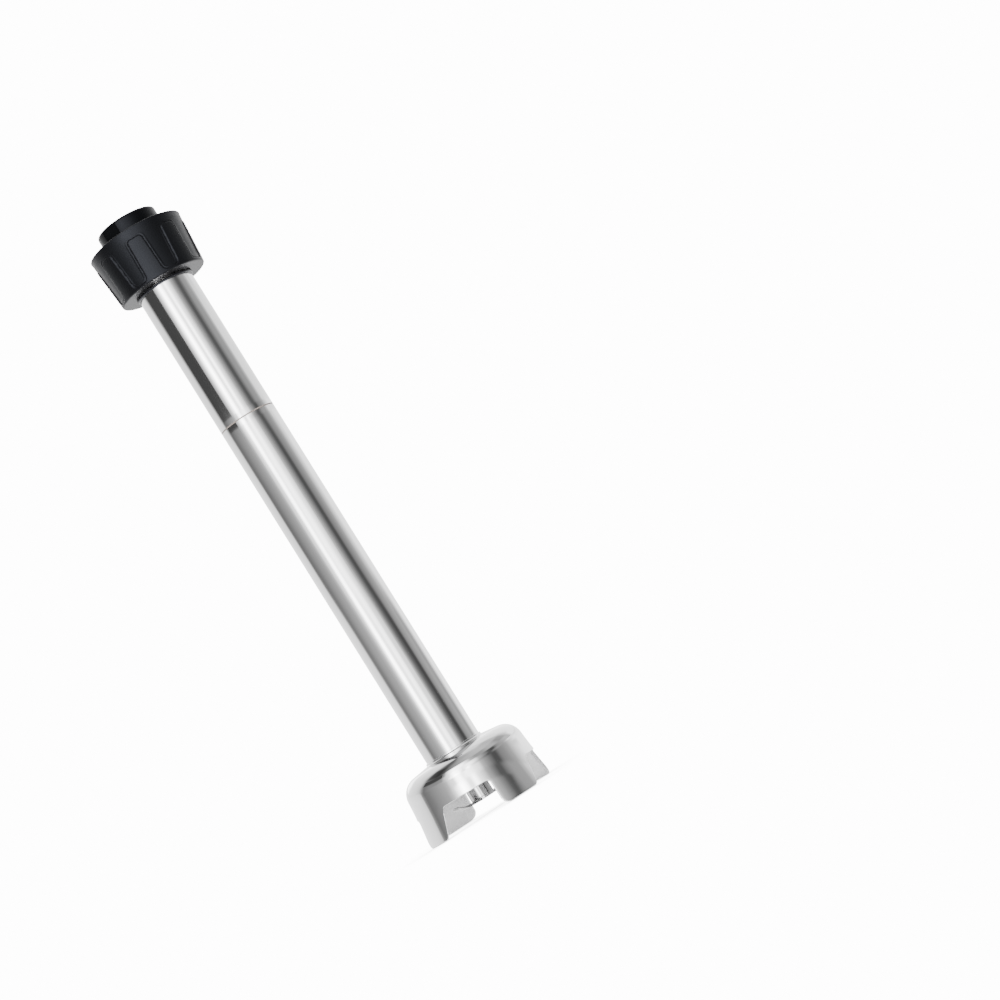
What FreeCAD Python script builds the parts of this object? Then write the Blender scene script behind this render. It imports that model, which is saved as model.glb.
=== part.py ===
import FreeCAD, Part
import math
import os

# Blending shaft of a commercial immersion blender, standing on the rim of its bell guard.
# Origin: centre of the rim plane. +Z runs up the shaft to the coupling nut. Millimetres.
# Bearings at both ends carry a drive shaft inside a stainless tube. The blade turns inside
# the bell, and a captive nut at the top clamps the shaft to a motor body.

Vector = FreeCAD.Vector
ORIGIN = Vector(0, 0, 0)
UP = Vector(0, 0, 1)
TINY = 1e-6

# Tube
TUBE_RADIUS = 17.5
TUBE_WALL = 1.5
TUBE_BORE = TUBE_RADIUS - TUBE_WALL
TUBE_JOINT_Z = 268.1
TUBE_TOP_Z = 370.5
TUBE_JOINT_CHAMFER = 0.35

# Bell guard
BELL_HEIGHT = 42.4
BELL_WALL = 2.0
BELL_RIM_RADIUS = 42.0
BELL_WAIST_RADIUS = 39.15
BELL_WAIST_Z = 19.5
BELL_SHOULDER_RADIUS = 37.7
BELL_SHOULDER_Z = 38.4
BELL_SHOULDER_ROUND = 11.2
BELL_NECK_RADIUS = 18.3
BELL_NECK_FOOT_Z = 41.1
BELL_SEAT_Z = 38.4
BELL_SEAT_FLOOR_Z = 36.6
BELL_SEAT_RADIUS = 18.9
BELL_HOLE_RADIUS = 13.7
BELL_WINDOWS = 4
WINDOW_HEIGHT = 17.2
WINDOW_TURN = -12.0
STEEP_SIDE_TOP = 16.8
STEEP_SIDE_FOOT = 17.8
STEEP_SIDE_ROUND = 2.5
STEEP_LEG_ROUND = 5.0
SLANTED_SIDE_TOP = 14.1
SLANTED_SIDE_FOOT = 20.8
SLANTED_SIDE_ROUND = 4.0
SLANTED_LEG_ROUND = 3.3

# Ball bearings, 8 x 22 x 7
BEARING_BORE = 4.0
BEARING_RADIUS = 11.0
BEARING_WIDTH = 7.0
BALL_COUNT = 7
BALL_RADIUS = 1.985
BALL_PITCH = 7.5
RACEWAY_RADIUS = BALL_RADIUS + 0.1
POCKET_RADIUS = BALL_RADIUS + 0.1
INNER_LAND = 6.2
OUTER_LAND = 8.8
CAGE_INNER = 6.8
CAGE_OUTER = 8.2
CAGE_HALF_HEIGHT = 2.5
SHIELD_SEAT = 9.6
SHIELD_INNER = 6.5
SHIELD_INSET = 0.2
SHIELD_THICKNESS = 0.35
LOWER_BEARING_Z = 45.0
UPPER_BEARING_Z = 377.0
WASHER_HEIGHT = 0.8

# Drive shaft and its ends
SHAFT_RADIUS = 5.0
SHAFT_FOOT_Z = 21.0
SHAFT_HEAD_Z = 393.5
HUB_RADIUS = 7.3
HUB_BOTTOM_Z = 9.9
HUB_STEP_Z = 22.0
HUB_SLEEVE_RADIUS = 6.0
DRIVE_RADIUS = 9.5
DRIVE_TOP_Z = 402.0
DRIVE_SOCKET_RADIUS = 4.6
DRIVE_SPLINES = 6
DRIVE_SPLINE_REACH = 6.2
DRIVE_SPLINE_WIDTH = 2.2

# Blade
BLADE_THICKNESS = 1.6
BLADE_REACH = 23.0
BLADE_ROOT_WIDTH = 11.0
BLADE_TIP_WIDTH = 7.5
BLADE_TIP_ROUND = 3.2
BLADE_BEVEL = 3.0
BLADE_LIFT = 3.0
BLADE_BEND_REACH = 15.5
BLADE_TIP_LIFT = 18.0
BLADE_TURN = 221.0

# M4 countersunk screws
SCREW_RADIUS = 2.0
SCREW_HEAD_RADIUS = 3.6
SCREW_LENGTH = 9.0
SCREW_HEX_RADIUS = 1.4
SCREW_HEX_DEPTH = 1.3

# Lower bearing housing
HOUSING_NOSE_RADIUS = 13.5
HOUSING_NOSE_Z = 23.5
HOUSING_TOP_Z = 60.0
HOUSING_SHOULDER_BORE = 9.5
SEAL_COVER_RADIUS = 12.0
SEAL_COVER_THICKNESS = 1.5
SEAL_WIDTH = 7.0
RUNNING_CLEARANCE = 0.05
RING_THICKNESS = 1.0
GROOVE_DEPTH = 0.6
O_RING_SECTION = 0.9
O_RING_GROOVE_DEPTH = 1.8
HOUSING_O_RING_Z = 42.0
HEAD_O_RING_Z = 353.0

# Coupling head
HEAD_FOOT_Z = 348.0
HEAD_FLANGE_RADIUS = 23.0
HEAD_FLANGE_TOP_Z = 374.5
HEAD_BOSS_RADIUS = 19.0
HEAD_TOP_Z = 405.4
HEAD_TOP_ROUND = 1.7
HEAD_BORE = 9.0
HEAD_SOCKET_RADIUS = 12.5
HEAD_SOCKET_Z = 386.5
KEYWAY_WIDTH = 11.0
KEYWAY_DEPTH = 1.0
KEYWAY_FOOT_Z = 380.0
KEYWAY_TURN = -121.0
HEAD_SCREWS = 3
HEAD_SCREW_Z = 365.5
HEAD_SCREW_TURN = 20.0

# Coupling nut
NUT_BOTTOM_Z = 361.5
NUT_TOP_Z = 394.5
NUT_FLOOR_Z = 369.5
NUT_FOOT_RADIUS = 27.6
NUT_CROWN_RADIUS = 30.25
NUT_FOOT_ROUND = 1.8
NUT_CROWN_ROUND = 0.8
NUT_BORE = 17.9
NUT_BORE_CHAMFER = 0.7
NUT_THREAD_RADIUS = 25.8
NUT_FLUTES = 8
NUT_FLUTE_DEPTH = 0.8
NUT_FLUTE_RADIUS = 60.0
NUT_FLUTE_FOOT_Z = 366.0
NUT_FLUTE_HEAD_Z = 394.0
NUT_FLUTE_TURN = -112.0
STOP_RING_SECTION = 0.8
STOP_RING_RADIUS = 17.45
STOP_RING_Z = 360.3
STOP_RING_GAP = 9.0

# Joint sleeve and guide bush inside the tube
SLEEVE_HALF_LENGTH = 15.0
SLEEVE_WALL = 2.0
BUSH_HALF_LENGTH = 8.0


def corner_arc(before, here, after, radius):
    """Start, middle and end of the arc that rounds the corner at here."""
    back = (before - here).normalize()
    ahead = (after - here).normalize()
    half = back.getAngle(ahead) / 2
    reach = radius / math.tan(half)
    inward = (back + ahead).normalize()
    middle = here + inward * (radius / math.sin(half) - radius)
    return here + back * reach, middle, here + ahead * reach


def outline(corners):
    """Closed wire in the XZ plane through (x, z) or (x, z, rounding radius) corners."""
    spots = [Vector(corner[0], 0, corner[1]) for corner in corners]
    arcs = []
    for index, corner in enumerate(corners):
        here = spots[index]
        arc = (here, here, here)
        if len(corner) == 3:
            arc = corner_arc(spots[index - 1], here, spots[(index + 1) % len(spots)], corner[2])
        arcs.append(arc)
    edges = []
    for index, (start, middle, end) in enumerate(arcs):
        if (end - start).Length > TINY:
            edges.append(Part.Arc(start, middle, end).toShape())
        following = arcs[(index + 1) % len(arcs)][0]
        if (following - end).Length > TINY:
            edges.append(Part.makeLine(end, following))
    return Part.Wire(edges)


def lathe(corners):
    """Solid turned about Z from (radius, z) or (radius, z, rounding radius) corners."""
    return Part.Face(outline(corners)).revolve(ORIGIN, UP, 360)


def ring(inner, outer, bottom, top):
    """Plain ring between two radii and two heights."""
    return lathe([(inner, bottom), (outer, bottom), (outer, top), (inner, top)])


def disc(radius, bottom, top):
    """Plain cylinder on the axis."""
    return Part.makeCylinder(radius, top - bottom, Vector(0, 0, bottom))


def torus(radius, section, z):
    """Ring of round section at height z."""
    return Part.makeTorus(radius, section, Vector(0, 0, z))


def block(x_range, y_range, z_range):
    """Box between two values along each axis."""
    corner = Vector(x_range[0], y_range[0], z_range[0])
    sizes = [high - low for low, high in (x_range, y_range, z_range)]
    return Part.makeBox(*sizes, corner)


def turned(shape, angle):
    """Copy of the shape turned about Z by an angle in degrees."""
    copy = shape.copy()
    copy.rotate(ORIGIN, UP, angle)
    return copy


def around(shape, count, first_angle=0.0):
    """Copies of the shape spaced evenly about Z."""
    return [turned(shape, first_angle + step * 360.0 / count) for step in range(count)]


def split_ring(inner, outer, bottom, top, gap, turn):
    """Flat retaining ring with a gap, turned so that the gap lies at an angle."""
    opening = block((0, outer + 1), (-gap / 2, gap / 2), (bottom - 1, top + 1))
    return turned(ring(inner, outer, bottom, top).cut(opening), turn)


def inset_corner(before, here, after, distance):
    """The corner at here, moved so that both of its lines shift sideways by a distance."""
    back = (before - here).normalize()
    ahead = (after - here).normalize()
    half = back.getAngle(ahead) / 2
    return here + (back + ahead).normalize() * (distance / math.sin(half))


# ---------------------------------------------------------------- bell guard

def bell_window():
    """Window facing -Y: a prism through the skirt, open at the rim, steep on +X and slanted on -X."""
    below = -STEEP_LEG_ROUND
    steep_foot = STEEP_SIDE_FOOT + 2 * STEEP_LEG_ROUND
    slanted_foot = SLANTED_SIDE_FOOT + 2 * SLANTED_LEG_ROUND
    face = Part.Face(outline([
        (-slanted_foot, below),
        (-slanted_foot, 0),
        (-SLANTED_SIDE_FOOT, 0, SLANTED_LEG_ROUND),
        (-SLANTED_SIDE_TOP, WINDOW_HEIGHT, SLANTED_SIDE_ROUND),
        (STEEP_SIDE_TOP, WINDOW_HEIGHT, STEEP_SIDE_ROUND),
        (STEEP_SIDE_FOOT, 0, STEEP_LEG_ROUND),
        (steep_foot, 0),
        (steep_foot, below),
    ]))
    return face.extrude(Vector(0, -2 * BELL_RIM_RADIUS, 0))


def bell_guard():
    """Pressed bell with a seat for the tube in its roof and four windows in its flared skirt."""
    neck = Vector(BELL_NECK_RADIUS, 0, BELL_NECK_FOOT_Z)
    shoulder = Vector(BELL_SHOULDER_RADIUS, 0, BELL_SHOULDER_Z)
    waist = Vector(BELL_WAIST_RADIUS, 0, BELL_WAIST_Z)
    rim = Vector(BELL_RIM_RADIUS, 0, 0)
    inner_shoulder = inset_corner(neck, shoulder, waist, BELL_WALL)
    inner_waist = waist * 2 - inset_corner(shoulder, waist, rim, BELL_WALL)
    roof_slope = (neck.z - shoulder.z) / (shoulder.x - neck.x)
    roof_inner_z = inner_shoulder.z + roof_slope * (inner_shoulder.x - BELL_SEAT_RADIUS)
    bell = lathe([
        (TUBE_RADIUS, BELL_HEIGHT),
        (neck.x, BELL_HEIGHT),
        (neck.x, neck.z),
        (shoulder.x, shoulder.z, BELL_SHOULDER_ROUND),
        (waist.x, waist.z),
        (rim.x, rim.z),
        (rim.x - BELL_WALL, rim.z),
        (inner_waist.x, inner_waist.z),
        (inner_shoulder.x, inner_shoulder.z, BELL_SHOULDER_ROUND - BELL_WALL),
        (BELL_SEAT_RADIUS, roof_inner_z),
        (BELL_SEAT_RADIUS, BELL_SEAT_FLOOR_Z),
        (BELL_HOLE_RADIUS, BELL_SEAT_FLOOR_Z),
        (BELL_HOLE_RADIUS, BELL_SEAT_Z),
        (TUBE_RADIUS, BELL_SEAT_Z),
    ])
    for window in around(bell_window(), BELL_WINDOWS, WINDOW_TURN):
        bell = bell.cut(window)
    return bell


# ---------------------------------------------------------------- tube

def countersunk_screw():
    """Screw along Z with its head's flat at z = 0 and its point at negative z."""
    head_depth = SCREW_HEAD_RADIUS - SCREW_RADIUS
    body = lathe([
        (0, 0),
        (SCREW_HEAD_RADIUS, 0),
        (SCREW_RADIUS, -head_depth),
        (SCREW_RADIUS, -SCREW_LENGTH),
        (0, -SCREW_LENGTH),
    ])
    angles = [math.radians(60 * side) for side in range(7)]
    corners = [Vector(math.cos(a), math.sin(a), 0) * SCREW_HEX_RADIUS for a in angles]
    recess = Part.Face(Part.makePolygon(corners))
    return body.cut(recess.extrude(Vector(0, 0, -SCREW_HEX_DEPTH)))


def head_screw_seat():
    """Radius at which a head screw's flat lies wholly under the tube's surface."""
    return math.sqrt(TUBE_RADIUS ** 2 - SCREW_HEAD_RADIUS ** 2)


def place_radially(shape):
    """A shape along Z laid along X, with its z = 0 plane at the head screws' seat."""
    copy = shape.copy()
    copy.rotate(ORIGIN, Vector(0, 1, 0), 90)
    copy.translate(Vector(head_screw_seat(), 0, HEAD_SCREW_Z))
    return copy


def head_screw_hole():
    """Countersunk hole for a head screw, open outward through the tube."""
    head_depth = SCREW_HEAD_RADIUS - SCREW_RADIUS
    return place_radially(lathe([
        (0, TUBE_WALL),
        (SCREW_HEAD_RADIUS, TUBE_WALL),
        (SCREW_HEAD_RADIUS, 0),
        (SCREW_RADIUS, -head_depth),
        (SCREW_RADIUS, -SCREW_LENGTH),
        (0, -SCREW_LENGTH),
    ]))


def head_screws():
    """Radial screws that hold the coupling head in the tube, under the nut."""
    screw = place_radially(countersunk_screw())
    return Part.makeCompound(around(screw, HEAD_SCREWS, HEAD_SCREW_TURN))


def lower_tube():
    """Lower tube, seated in the bell and grooved for the housing's retaining ring."""
    tube = lathe([
        (TUBE_BORE, BELL_SEAT_Z),
        (TUBE_RADIUS, BELL_SEAT_Z),
        (TUBE_RADIUS, TUBE_JOINT_Z - TUBE_JOINT_CHAMFER),
        (TUBE_RADIUS - TUBE_JOINT_CHAMFER, TUBE_JOINT_Z),
        (TUBE_BORE, TUBE_JOINT_Z),
    ])
    groove = ring(TUBE_BORE - 1, TUBE_BORE + GROOVE_DEPTH, HOUSING_TOP_Z,
                  HOUSING_TOP_Z + RING_THICKNESS)
    return tube.cut(groove)


def upper_tube():
    """Upper tube, grooved outside for the nut's stop ring and drilled for the head screws."""
    tube = lathe([
        (TUBE_BORE, TUBE_JOINT_Z),
        (TUBE_RADIUS - TUBE_JOINT_CHAMFER, TUBE_JOINT_Z),
        (TUBE_RADIUS, TUBE_JOINT_Z + TUBE_JOINT_CHAMFER),
        (TUBE_RADIUS, TUBE_TOP_Z),
        (TUBE_BORE, TUBE_TOP_Z),
    ])
    tube = tube.cut(torus(STOP_RING_RADIUS, STOP_RING_SECTION, STOP_RING_Z))
    for hole in around(head_screw_hole(), HEAD_SCREWS, HEAD_SCREW_TURN):
        tube = tube.cut(hole)
    return tube


def tube_joint_sleeve():
    """Spigot sleeve that joins the two tubes from inside."""
    return ring(TUBE_BORE - SLEEVE_WALL, TUBE_BORE, TUBE_JOINT_Z - SLEEVE_HALF_LENGTH,
                TUBE_JOINT_Z + SLEEVE_HALF_LENGTH)


def shaft_guide_bush():
    """Bush in the sleeve that steadies the middle of the drive shaft."""
    return ring(SHAFT_RADIUS + RUNNING_CLEARANCE, TUBE_BORE - SLEEVE_WALL,
                TUBE_JOINT_Z - BUSH_HALF_LENGTH, TUBE_JOINT_Z + BUSH_HALF_LENGTH)


# ---------------------------------------------------------------- ball bearings

def ball_centre(bottom):
    """Height of the balls' centres in a bearing that starts at bottom."""
    return bottom + BEARING_WIDTH / 2


def bearing_outer_race(bottom):
    """Outer ring with a raceway and a seat for a shield at each end."""
    top = bottom + BEARING_WIDTH
    seat = SHIELD_INSET + SHIELD_THICKNESS
    race = lathe([
        (SHIELD_SEAT, bottom),
        (BEARING_RADIUS, bottom, 0.3),
        (BEARING_RADIUS, top, 0.3),
        (SHIELD_SEAT, top),
        (SHIELD_SEAT, top - seat),
        (OUTER_LAND, top - seat),
        (OUTER_LAND, bottom + seat),
        (SHIELD_SEAT, bottom + seat),
    ])
    return race.cut(torus(BALL_PITCH, RACEWAY_RADIUS, ball_centre(bottom)))


def bearing_inner_race(bottom):
    """Inner ring with its raceway."""
    race = ring(BEARING_BORE, INNER_LAND, bottom, bottom + BEARING_WIDTH)
    return race.cut(torus(BALL_PITCH, RACEWAY_RADIUS, ball_centre(bottom)))


def bearing_balls(bottom):
    """The bearing's balls."""
    ball = Part.makeSphere(BALL_RADIUS, Vector(BALL_PITCH, 0, ball_centre(bottom)))
    return Part.makeCompound(around(ball, BALL_COUNT))


def bearing_cage(bottom):
    """Machined cage with a hole drilled through it for each ball."""
    centre = ball_centre(bottom)
    cage = ring(CAGE_INNER, CAGE_OUTER, centre - CAGE_HALF_HEIGHT, centre + CAGE_HALF_HEIGHT)
    pocket = Part.makeCylinder(POCKET_RADIUS, BEARING_RADIUS, Vector(0, 0, centre), Vector(1, 0, 0))
    for copy in around(pocket, BALL_COUNT):
        cage = cage.cut(copy)
    return cage


def bearing_shields(bottom):
    """Two shields, pressed into the outer ring."""
    top = bottom + BEARING_WIDTH
    seat = SHIELD_INSET + SHIELD_THICKNESS
    return Part.makeCompound([
        ring(SHIELD_INNER, SHIELD_SEAT, bottom + SHIELD_INSET, bottom + seat),
        ring(SHIELD_INNER, SHIELD_SEAT, top - seat, top - SHIELD_INSET),
    ])


# ---------------------------------------------------------------- lower bearing housing

def o_ring(radius, z):
    """O-ring that seals a turned part of the given radius in the tube."""
    return torus(radius - O_RING_SECTION, O_RING_SECTION, z)


def o_ring_groove(radius, z):
    """Groove for an O-ring in a turned part of the given radius."""
    return ring(radius - O_RING_GROOVE_DEPTH, radius + 1, z - O_RING_SECTION - 0.1,
                z + O_RING_SECTION + 0.1)


def lower_bearing_housing():
    """Turned housing in the tube's foot for the lower bearing and two lip seals."""
    seals_z = HOUSING_NOSE_Z + SEAL_COVER_THICKNESS
    shoulder_z = seals_z + 2 * SEAL_WIDTH
    bearing_top_z = LOWER_BEARING_Z + BEARING_WIDTH
    housing = lathe([
        (SEAL_COVER_RADIUS, HOUSING_NOSE_Z),
        (HOUSING_NOSE_RADIUS, HOUSING_NOSE_Z, 0.8),
        (HOUSING_NOSE_RADIUS, BELL_SEAT_Z),
        (TUBE_BORE, BELL_SEAT_Z),
        (TUBE_BORE, HOUSING_TOP_Z),
        (BEARING_RADIUS, HOUSING_TOP_Z),
        (BEARING_RADIUS, LOWER_BEARING_Z),
        (HOUSING_SHOULDER_BORE, LOWER_BEARING_Z),
        (HOUSING_SHOULDER_BORE, shoulder_z),
        (BEARING_RADIUS, shoulder_z),
        (BEARING_RADIUS, seals_z),
        (SEAL_COVER_RADIUS, seals_z),
    ])
    housing = housing.cut(o_ring_groove(TUBE_BORE, HOUSING_O_RING_Z))
    return housing.cut(ring(BEARING_RADIUS - 1, BEARING_RADIUS + GROOVE_DEPTH, bearing_top_z,
                            bearing_top_z + RING_THICKNESS))


def seal_cover():
    """Thin plate that closes the housing's nose round the blade hub."""
    return ring(HUB_SLEEVE_RADIUS + 0.4, SEAL_COVER_RADIUS, HOUSING_NOSE_Z,
                HOUSING_NOSE_Z + SEAL_COVER_THICKNESS)


def lip_seal(index):
    """One of the two shaft seals, hollow on its spring side."""
    bottom = HOUSING_NOSE_Z + SEAL_COVER_THICKNESS + index * SEAL_WIDTH
    top = bottom + SEAL_WIDTH
    lip = HUB_SLEEVE_RADIUS + RUNNING_CLEARANCE
    return lathe([
        (lip + 0.8, bottom),
        (BEARING_RADIUS, bottom),
        (BEARING_RADIUS, top),
        (BEARING_RADIUS - 1.2, top),
        (BEARING_RADIUS - 1.2, bottom + 1.4),
        (lip + 1.8, bottom + 1.4),
        (lip + 1.8, top - 0.8),
        (lip + 0.6, top - 0.8),
        (lip, top - 2.2),
        (lip, top - 2.8),
    ])


def housing_retaining_ring():
    """Ring in the tube's groove that holds the housing down on the bell's seat."""
    return split_ring(TUBE_BORE - 2.0, TUBE_BORE + GROOVE_DEPTH, HOUSING_TOP_Z,
                      HOUSING_TOP_Z + RING_THICKNESS, 7.0, 90)


def bearing_retaining_ring(bottom, turn):
    """Ring in a bearing seat's groove."""
    return split_ring(BEARING_RADIUS - 1.7, BEARING_RADIUS + GROOVE_DEPTH, bottom,
                      bottom + RING_THICKNESS, 6.0, turn)


# ---------------------------------------------------------------- rotor

def drive_shaft():
    """Shaft that steps down at both ends to pass through the bearings."""
    lower_top_z = LOWER_BEARING_Z + BEARING_WIDTH
    return lathe([
        (0, SHAFT_FOOT_Z),
        (BEARING_BORE, SHAFT_FOOT_Z),
        (BEARING_BORE, lower_top_z),
        (SHAFT_RADIUS, lower_top_z),
        (SHAFT_RADIUS, UPPER_BEARING_Z),
        (BEARING_BORE, UPPER_BEARING_Z),
        (BEARING_BORE, SHAFT_HEAD_Z),
        (0, SHAFT_HEAD_Z),
    ])


def drive_coupling():
    """Splined socket on the head of the shaft, driven by the motor."""
    bottom = UPPER_BEARING_Z + BEARING_WIDTH
    coupling = lathe([
        (BEARING_BORE, bottom),
        (INNER_LAND, bottom),
        (INNER_LAND, bottom + 1.2),
        (DRIVE_RADIUS, bottom + 2.7),
        (DRIVE_RADIUS, DRIVE_TOP_Z, 1.0),
        (DRIVE_SOCKET_RADIUS + 0.8, DRIVE_TOP_Z),
        (DRIVE_SOCKET_RADIUS, DRIVE_TOP_Z - 0.8),
        (DRIVE_SOCKET_RADIUS, SHAFT_HEAD_Z),
        (BEARING_BORE, SHAFT_HEAD_Z),
    ])
    half = DRIVE_SPLINE_WIDTH / 2
    spline = block((0, DRIVE_SPLINE_REACH), (-half, half), (SHAFT_HEAD_Z, DRIVE_TOP_Z + 1))
    for slot in around(spline, DRIVE_SPLINES):
        coupling = coupling.cut(slot)
    return coupling


def blade_hub():
    """Hub screwed on the foot of the shaft; its sleeve runs in the seals."""
    screw_depth_z = HUB_BOTTOM_Z - BLADE_THICKNESS + SCREW_LENGTH
    return lathe([
        (SCREW_RADIUS, HUB_BOTTOM_Z),
        (HUB_RADIUS, HUB_BOTTOM_Z, 0.4),
        (HUB_RADIUS, HUB_STEP_Z, 0.6),
        (HUB_SLEEVE_RADIUS, HUB_STEP_Z),
        (HUB_SLEEVE_RADIUS, LOWER_BEARING_Z),
        (BEARING_BORE, LOWER_BEARING_Z),
        (BEARING_BORE, SHAFT_FOOT_Z),
        (0, SHAFT_FOOT_Z),
        (0, screw_depth_z),
        (SCREW_RADIUS, screw_depth_z),
    ])


def blade_wing():
    """One wing along +X, ground to an edge on its leading side, lifted and bent up near its tip."""
    root = BLADE_ROOT_WIDTH / 2
    tip = BLADE_TIP_WIDTH / 2
    plan = Part.Face(outline([
        (0, -root),
        (BLADE_REACH, -tip, BLADE_TIP_ROUND),
        (BLADE_REACH, tip, BLADE_TIP_ROUND),
        (0, root),
    ]))
    plan.rotate(ORIGIN, Vector(1, 0, 0), -90)
    wing = plan.extrude(Vector(0, 0, BLADE_THICKNESS))
    lean = math.degrees(math.atan2(root - tip, BLADE_REACH))
    bevel_angle = math.degrees(math.atan2(BLADE_THICKNESS, BLADE_BEVEL))
    wedge = block((HUB_RADIUS + 1, 2 * BLADE_REACH), (0, BLADE_ROOT_WIDTH), (0, BLADE_ROOT_WIDTH))
    wedge.rotate(ORIGIN, Vector(1, 0, 0), -bevel_angle)
    wedge.translate(Vector(0, root - BLADE_BEVEL, BLADE_THICKNESS))
    wedge.rotate(Vector(0, root, 0), UP, -lean)
    wing = wing.cut(wedge)
    width = (-BLADE_ROOT_WIDTH, BLADE_ROOT_WIDTH)
    beyond = block((BLADE_BEND_REACH, 2 * BLADE_REACH), width, (-BLADE_THICKNESS, 2 * BLADE_THICKNESS))
    tip_part = wing.common(beyond)
    tip_part.rotate(Vector(BLADE_BEND_REACH, 0, 0), Vector(0, 1, 0), -BLADE_TIP_LIFT)
    wing = wing.cut(beyond).fuse(tip_part)
    wing.rotate(Vector(HUB_RADIUS, 0, 0), Vector(0, 1, 0), -BLADE_LIFT)
    return wing


def blade():
    """Two-winged blade, with a countersunk hole at its centre."""
    bottom = HUB_BOTTOM_Z - BLADE_THICKNESS
    head_depth = SCREW_HEAD_RADIUS - SCREW_RADIUS
    outside = ring(HUB_RADIUS, 2 * BLADE_REACH, -BLADE_ROOT_WIDTH, BLADE_ROOT_WIDTH)
    plate = disc(HUB_RADIUS, 0, BLADE_THICKNESS)
    for wing in around(blade_wing().common(outside), 2, BLADE_TURN):
        plate = plate.fuse(wing)
    plate = plate.cut(Part.makeCone(SCREW_HEAD_RADIUS, SCREW_RADIUS, head_depth))
    plate.translate(Vector(0, 0, bottom))
    return plate.removeSplitter()


def blade_screw():
    """Countersunk screw that holds the blade, flush with its underside."""
    screw = countersunk_screw()
    screw.rotate(ORIGIN, Vector(1, 0, 0), 180)
    screw.translate(Vector(0, 0, HUB_BOTTOM_Z - BLADE_THICKNESS))
    return screw


# ---------------------------------------------------------------- coupling end

def keyway():
    """Shallow locating keyway in the side of the coupling head's boss, facing +X."""
    floor = HEAD_BOSS_RADIUS - KEYWAY_DEPTH
    half = KEYWAY_WIDTH / 2
    return block((floor, HEAD_BOSS_RADIUS + 1), (-half, half), (KEYWAY_FOOT_Z, HEAD_TOP_Z + 1))


def coupling_head():
    """Moulded head: spigot in the tube, clamping flange, and boss with the upper bearing."""
    bearing_top_z = UPPER_BEARING_Z + BEARING_WIDTH
    head = lathe([
        (HEAD_BORE, HEAD_FOOT_Z),
        (TUBE_BORE, HEAD_FOOT_Z, 0.6),
        (TUBE_BORE, TUBE_TOP_Z),
        (HEAD_FLANGE_RADIUS, TUBE_TOP_Z, 0.6),
        (HEAD_FLANGE_RADIUS, HEAD_FLANGE_TOP_Z, 0.6),
        (HEAD_BOSS_RADIUS, HEAD_FLANGE_TOP_Z),
        (HEAD_BOSS_RADIUS, HEAD_TOP_Z, HEAD_TOP_ROUND),
        (HEAD_SOCKET_RADIUS, HEAD_TOP_Z, 0.8),
        (HEAD_SOCKET_RADIUS, HEAD_SOCKET_Z),
        (BEARING_RADIUS, HEAD_SOCKET_Z),
        (BEARING_RADIUS, UPPER_BEARING_Z),
        (HEAD_BORE, UPPER_BEARING_Z),
    ])
    groove_z = bearing_top_z + WASHER_HEIGHT
    head = head.cut(o_ring_groove(TUBE_BORE, HEAD_O_RING_Z))
    head = head.cut(ring(BEARING_RADIUS - 1, BEARING_RADIUS + GROOVE_DEPTH, groove_z,
                         groove_z + RING_THICKNESS))
    for slot in around(keyway(), 2, KEYWAY_TURN):
        head = head.cut(slot)
    for hole in around(head_screw_hole(), HEAD_SCREWS, HEAD_SCREW_TURN):
        head = head.cut(hole)
    return head


def nut_flute():
    """Shallow finger flute at +X: a barrel that leans with the nut's side and fades at its ends."""
    slope = (NUT_CROWN_RADIUS - NUT_FOOT_RADIUS) / (NUT_TOP_Z - NUT_BOTTOM_Z)
    middle_z = (NUT_FLUTE_FOOT_Z + NUT_FLUTE_HEAD_Z) / 2
    end_radius = NUT_FLUTE_RADIUS - NUT_FLUTE_DEPTH
    foot = Vector(end_radius, 0, NUT_FLUTE_FOOT_Z)
    waist = Vector(NUT_FLUTE_RADIUS, 0, middle_z)
    head = Vector(end_radius, 0, NUT_FLUTE_HEAD_Z)
    axis_foot = Vector(0, 0, NUT_FLUTE_FOOT_Z)
    axis_head = Vector(0, 0, NUT_FLUTE_HEAD_Z)
    profile = Part.Wire([
        Part.makeLine(axis_foot, foot),
        Part.Arc(foot, waist, head).toShape(),
        Part.makeLine(head, axis_head),
        Part.makeLine(axis_head, axis_foot),
    ])
    barrel = Part.Face(profile).revolve(ORIGIN, UP, 360)
    barrel.rotate(Vector(0, 0, middle_z), Vector(0, 1, 0), math.degrees(math.atan(slope)))
    side_radius = NUT_FOOT_RADIUS + slope * (middle_z - NUT_BOTTOM_Z)
    barrel.translate(Vector(side_radius + NUT_FLUTE_RADIUS - NUT_FLUTE_DEPTH, 0, 0))
    return barrel


def coupling_nut():
    """Captive nut: an inward lip below the head's flange and a threaded skirt above it."""
    nut = lathe([
        (NUT_BORE + NUT_BORE_CHAMFER, NUT_BOTTOM_Z),
        (NUT_FOOT_RADIUS, NUT_BOTTOM_Z, NUT_FOOT_ROUND),
        (NUT_CROWN_RADIUS, NUT_TOP_Z, NUT_CROWN_ROUND),
        (NUT_THREAD_RADIUS + 1.2, NUT_TOP_Z),
        (NUT_THREAD_RADIUS, NUT_TOP_Z - 1.2),
        (NUT_THREAD_RADIUS, NUT_FLOOR_Z),
        (NUT_BORE, NUT_FLOOR_Z),
        (NUT_BORE, NUT_BOTTOM_Z + NUT_BORE_CHAMFER),
    ])
    for flute in around(nut_flute(), NUT_FLUTES, NUT_FLUTE_TURN):
        nut = nut.cut(flute)
    return nut


def nut_stop_ring():
    """Round wire snap ring in the tube that keeps the nut from sliding down."""
    reach = STOP_RING_RADIUS + 2
    half = STOP_RING_GAP / 2
    opening = block((0, reach), (-half, half), (STOP_RING_Z - 2, STOP_RING_Z + 2))
    wire = torus(STOP_RING_RADIUS, STOP_RING_SECTION, STOP_RING_Z)
    return turned(wire.cut(opening), 90)


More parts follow.
